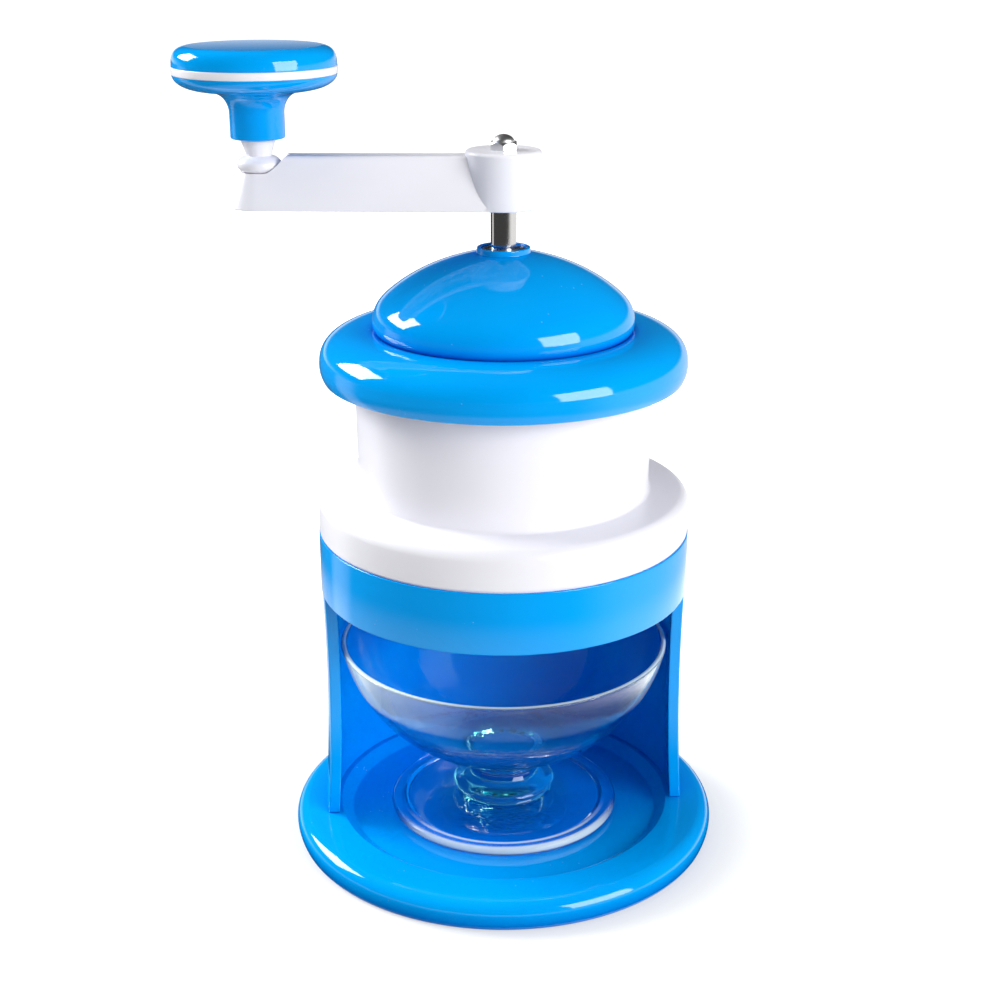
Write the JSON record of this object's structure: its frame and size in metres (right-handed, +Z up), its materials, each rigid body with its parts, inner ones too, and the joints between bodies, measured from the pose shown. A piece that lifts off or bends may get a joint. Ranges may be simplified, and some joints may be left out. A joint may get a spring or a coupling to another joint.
{
  "type": "ice shaver with crank",
  "caption": "Hand cranked ice shaver: a hopper with a domed lid on an open C-shaped stand, turned by a crank with a knob, shaves ice into a footed bowl.",
  "frame": {"origin": "centre of the underside of the grip pad, on the axis of the stand, hopper and shaft", "axes": "+Z up along the shaft; the stand opens towards -Y; at rest the crank points almost along -X"},
  "size_m": [0.1698, 0.1422, 0.2603],
  "materials": {
    "blue_plastic": "high gloss moulded plastic",
    "white_plastic": "satin gloss moulded plastic",
    "clear_bowl": "clear moulded plastic with a faint green tint",
    "shaft_chrome": "polished",
    "nut_chrome": "polished",
    "bush_steel": "turned, bright",
    "blade_steel": "ground and brushed",
    "spring_steel": "drawn wire",
    "fastener_steel": "zinc plated",
    "grip_rubber": "matte soft rubber"
  },
  "bodies": {
    "stand": {"base": "blue_plastic", "bottom_plate": "blue_plastic", "grip_pad": "grip_rubber", "stand_screws": "fastener_steel", "stand_wall": "blue_plastic", "collar_ring": "blue_plastic", "blade_plate": "white_plastic", "blade": "blade_steel", "blade_screws": "fastener_steel"},
    "hopper": {"hopper": "white_plastic"},
    "lid": {"lid": "blue_plastic", "lid_bush": "bush_steel"},
    "spring_carrier": {"spring": "spring_steel", "thrust_washer": "bush_steel"},
    "crank": {"shaft": "shaft_chrome", "cross_pin": "fastener_steel", "presser": "white_plastic", "presser_spikes": "blade_steel", "crank_arm": "white_plastic", "crank_nut": "nut_chrome", "knob_washer": "fastener_steel", "knob_screw": "fastener_steel"},
    "knob": {"knob_lower": "blue_plastic", "knob_band": "white_plastic", "knob_cap": "blue_plastic"},
    "bowl": {"bowl": "clear_bowl"}
  },
  "joints": [
    {"name": "hopper_lift", "type": "slide", "parent": "stand", "child": "hopper", "axis": [0, 0, 1], "range_m": [0, 0.02]},
    {"name": "lid_lift", "type": "slide", "parent": "hopper", "child": "lid", "axis": [0, 0, 1], "range_m": [0, 0.08]},
    {"name": "presser_travel", "type": "slide", "parent": "lid", "child": "spring_carrier", "axis": [0, 0, 1], "range_m": [0, 0.05], "stiffness_N_per_m": 100, "springref_m": -0.03, "deforming": ["spring"]},
    {"name": "crank_turn", "type": "hinge", "parent": "spring_carrier", "child": "crank", "pos_m": [0, 0, 0.2], "axis": [0, 0, 1], "continuous": true},
    {"name": "knob_spin", "type": "hinge", "parent": "crank", "child": "knob", "pos_m": [-0.07394, 0.00725, 0.24], "axis": [0, 0, 1], "continuous": true},
    {"name": "bowl_out", "type": "slide", "parent": "stand", "child": "bowl", "axis": [0, -0.9877, 0.1564], "range_m": [0, 0.125]}
  ]
}
